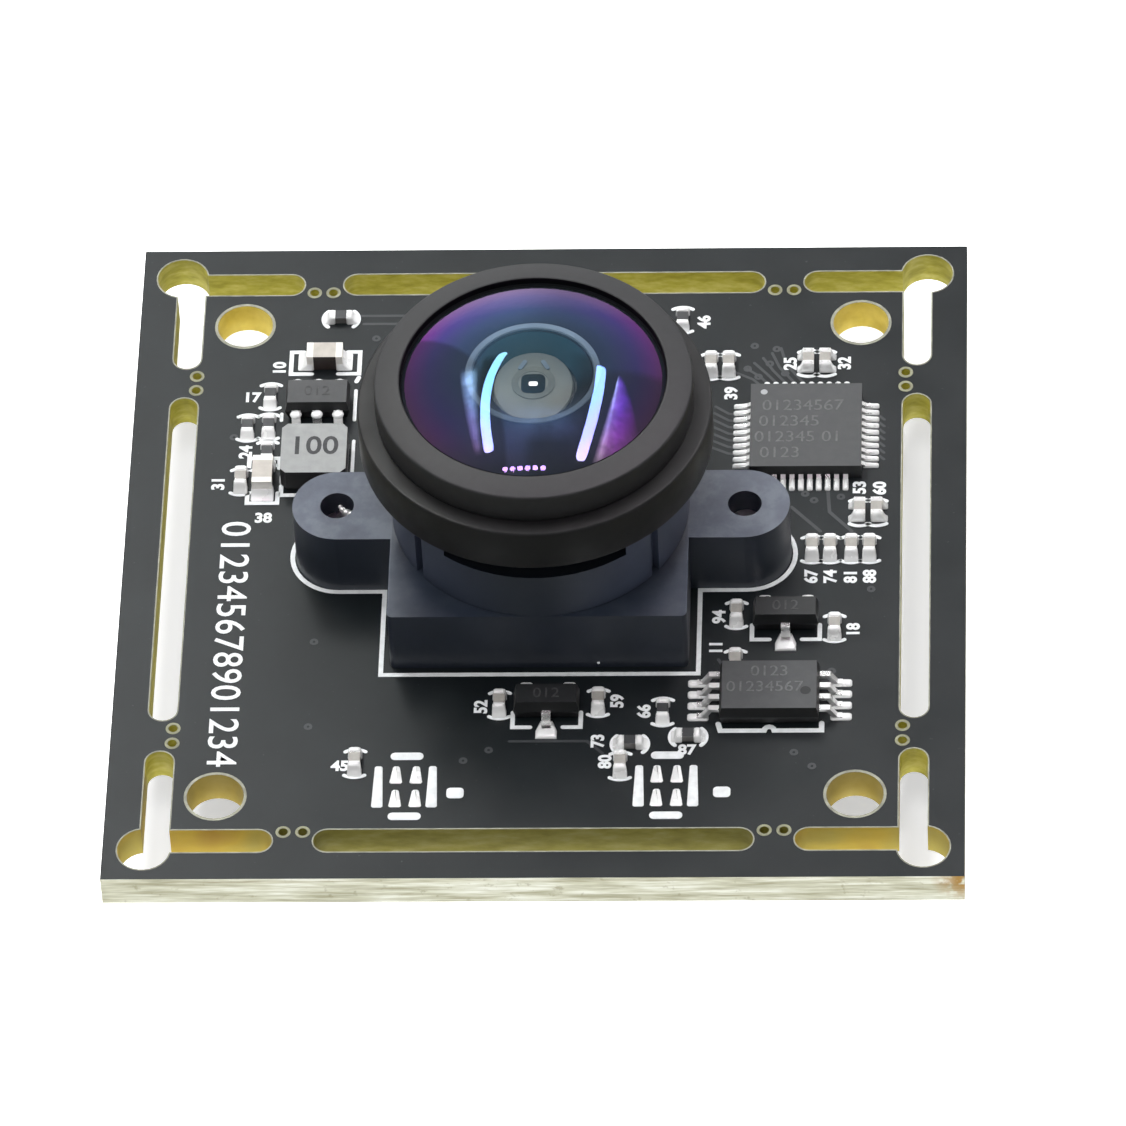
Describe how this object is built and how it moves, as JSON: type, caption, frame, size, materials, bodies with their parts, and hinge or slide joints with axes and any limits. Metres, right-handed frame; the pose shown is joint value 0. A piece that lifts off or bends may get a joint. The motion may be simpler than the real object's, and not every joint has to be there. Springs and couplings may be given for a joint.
{
  "type": "camera module",
  "caption": "Board camera: a slotted square circuit board with a moulded lens holder, a screw-in wide-angle lens, surface-mounted electronics and a wire socket on the back.",
  "frame": {"origin": "centre of the four inner mounting holes, on the circuit board's back face", "axes": "+Z along the lens's optical axis, out of the board's front face; +X towards the controller chip; +Y from the wire socket's side towards the opposite edge"},
  "size_m": [0.0376, 0.0374, 0.0176],
  "materials": {
    "solder_mask": "semi-matte dark grey-blue solder mask over glass-fibre laminate",
    "holder_plastic": "moulded black plastic with a blue cast, satin",
    "black_anodised": "black anodised, satin",
    "coated_glass": "polished, violet to teal anti-reflection coating",
    "clear_glass": "polished",
    "chip_plastic": "moulded epoxy, fine matte",
    "tinned_metal": "tinned and soldered, bright",
    "steel": "zinc plated, bright",
    "ferrite": "moulded light grey, matte",
    "cream_ceramic": "fired, satin",
    "brown_ceramic": "fired, satin",
    "socket_nylon": "natural nylon, satin",
    "silkscreen": "printed white ink"
  },
  "bodies": {
    "root": {"board": "solder_mask", "lens_holder": "holder_plastic", "holder_screws": "steel", "filter": "clear_glass", "sensor_package": "chip_plastic", "sensor_glass": "clear_glass", "lens_barrel": "black_anodised", "front_ring": "black_anodised", "front_element": "coated_glass", "front_spacer": "black_anodised", "second_element": "coated_glass", "middle_spacer": "black_anodised", "third_element": "coated_glass", "aperture_stop": "black_anodised", "rear_spacer": "black_anodised", "doublet_front": "coated_glass", "doublet_rear": "coated_glass", "controller": "chip_plastic", "controller_terminals": "tinned_metal", "memory_chip": "chip_plastic", "memory_leads": "tinned_metal", "lower_regulator": "chip_plastic", "lower_regulator_leads": "tinned_metal", "side_regulator": "chip_plastic", "side_regulator_leads": "tinned_metal", "converter": "chip_plastic", "converter_leads": "tinned_metal", "inductor": "ferrite", "inductor_terminals": "tinned_metal", "large_capacitors": "cream_ceramic", "large_capacitor_ends": "tinned_metal", "small_capacitors": "brown_ceramic", "small_capacitor_ends": "tinned_metal", "resistors": "chip_plastic", "resistor_ends": "tinned_metal", "socket_housing": "socket_nylon", "socket_contacts": "tinned_metal", "socket_tabs": "tinned_metal", "crystal_base": "brown_ceramic", "crystal_lid": "steel"}
  },
  "joints": []
}
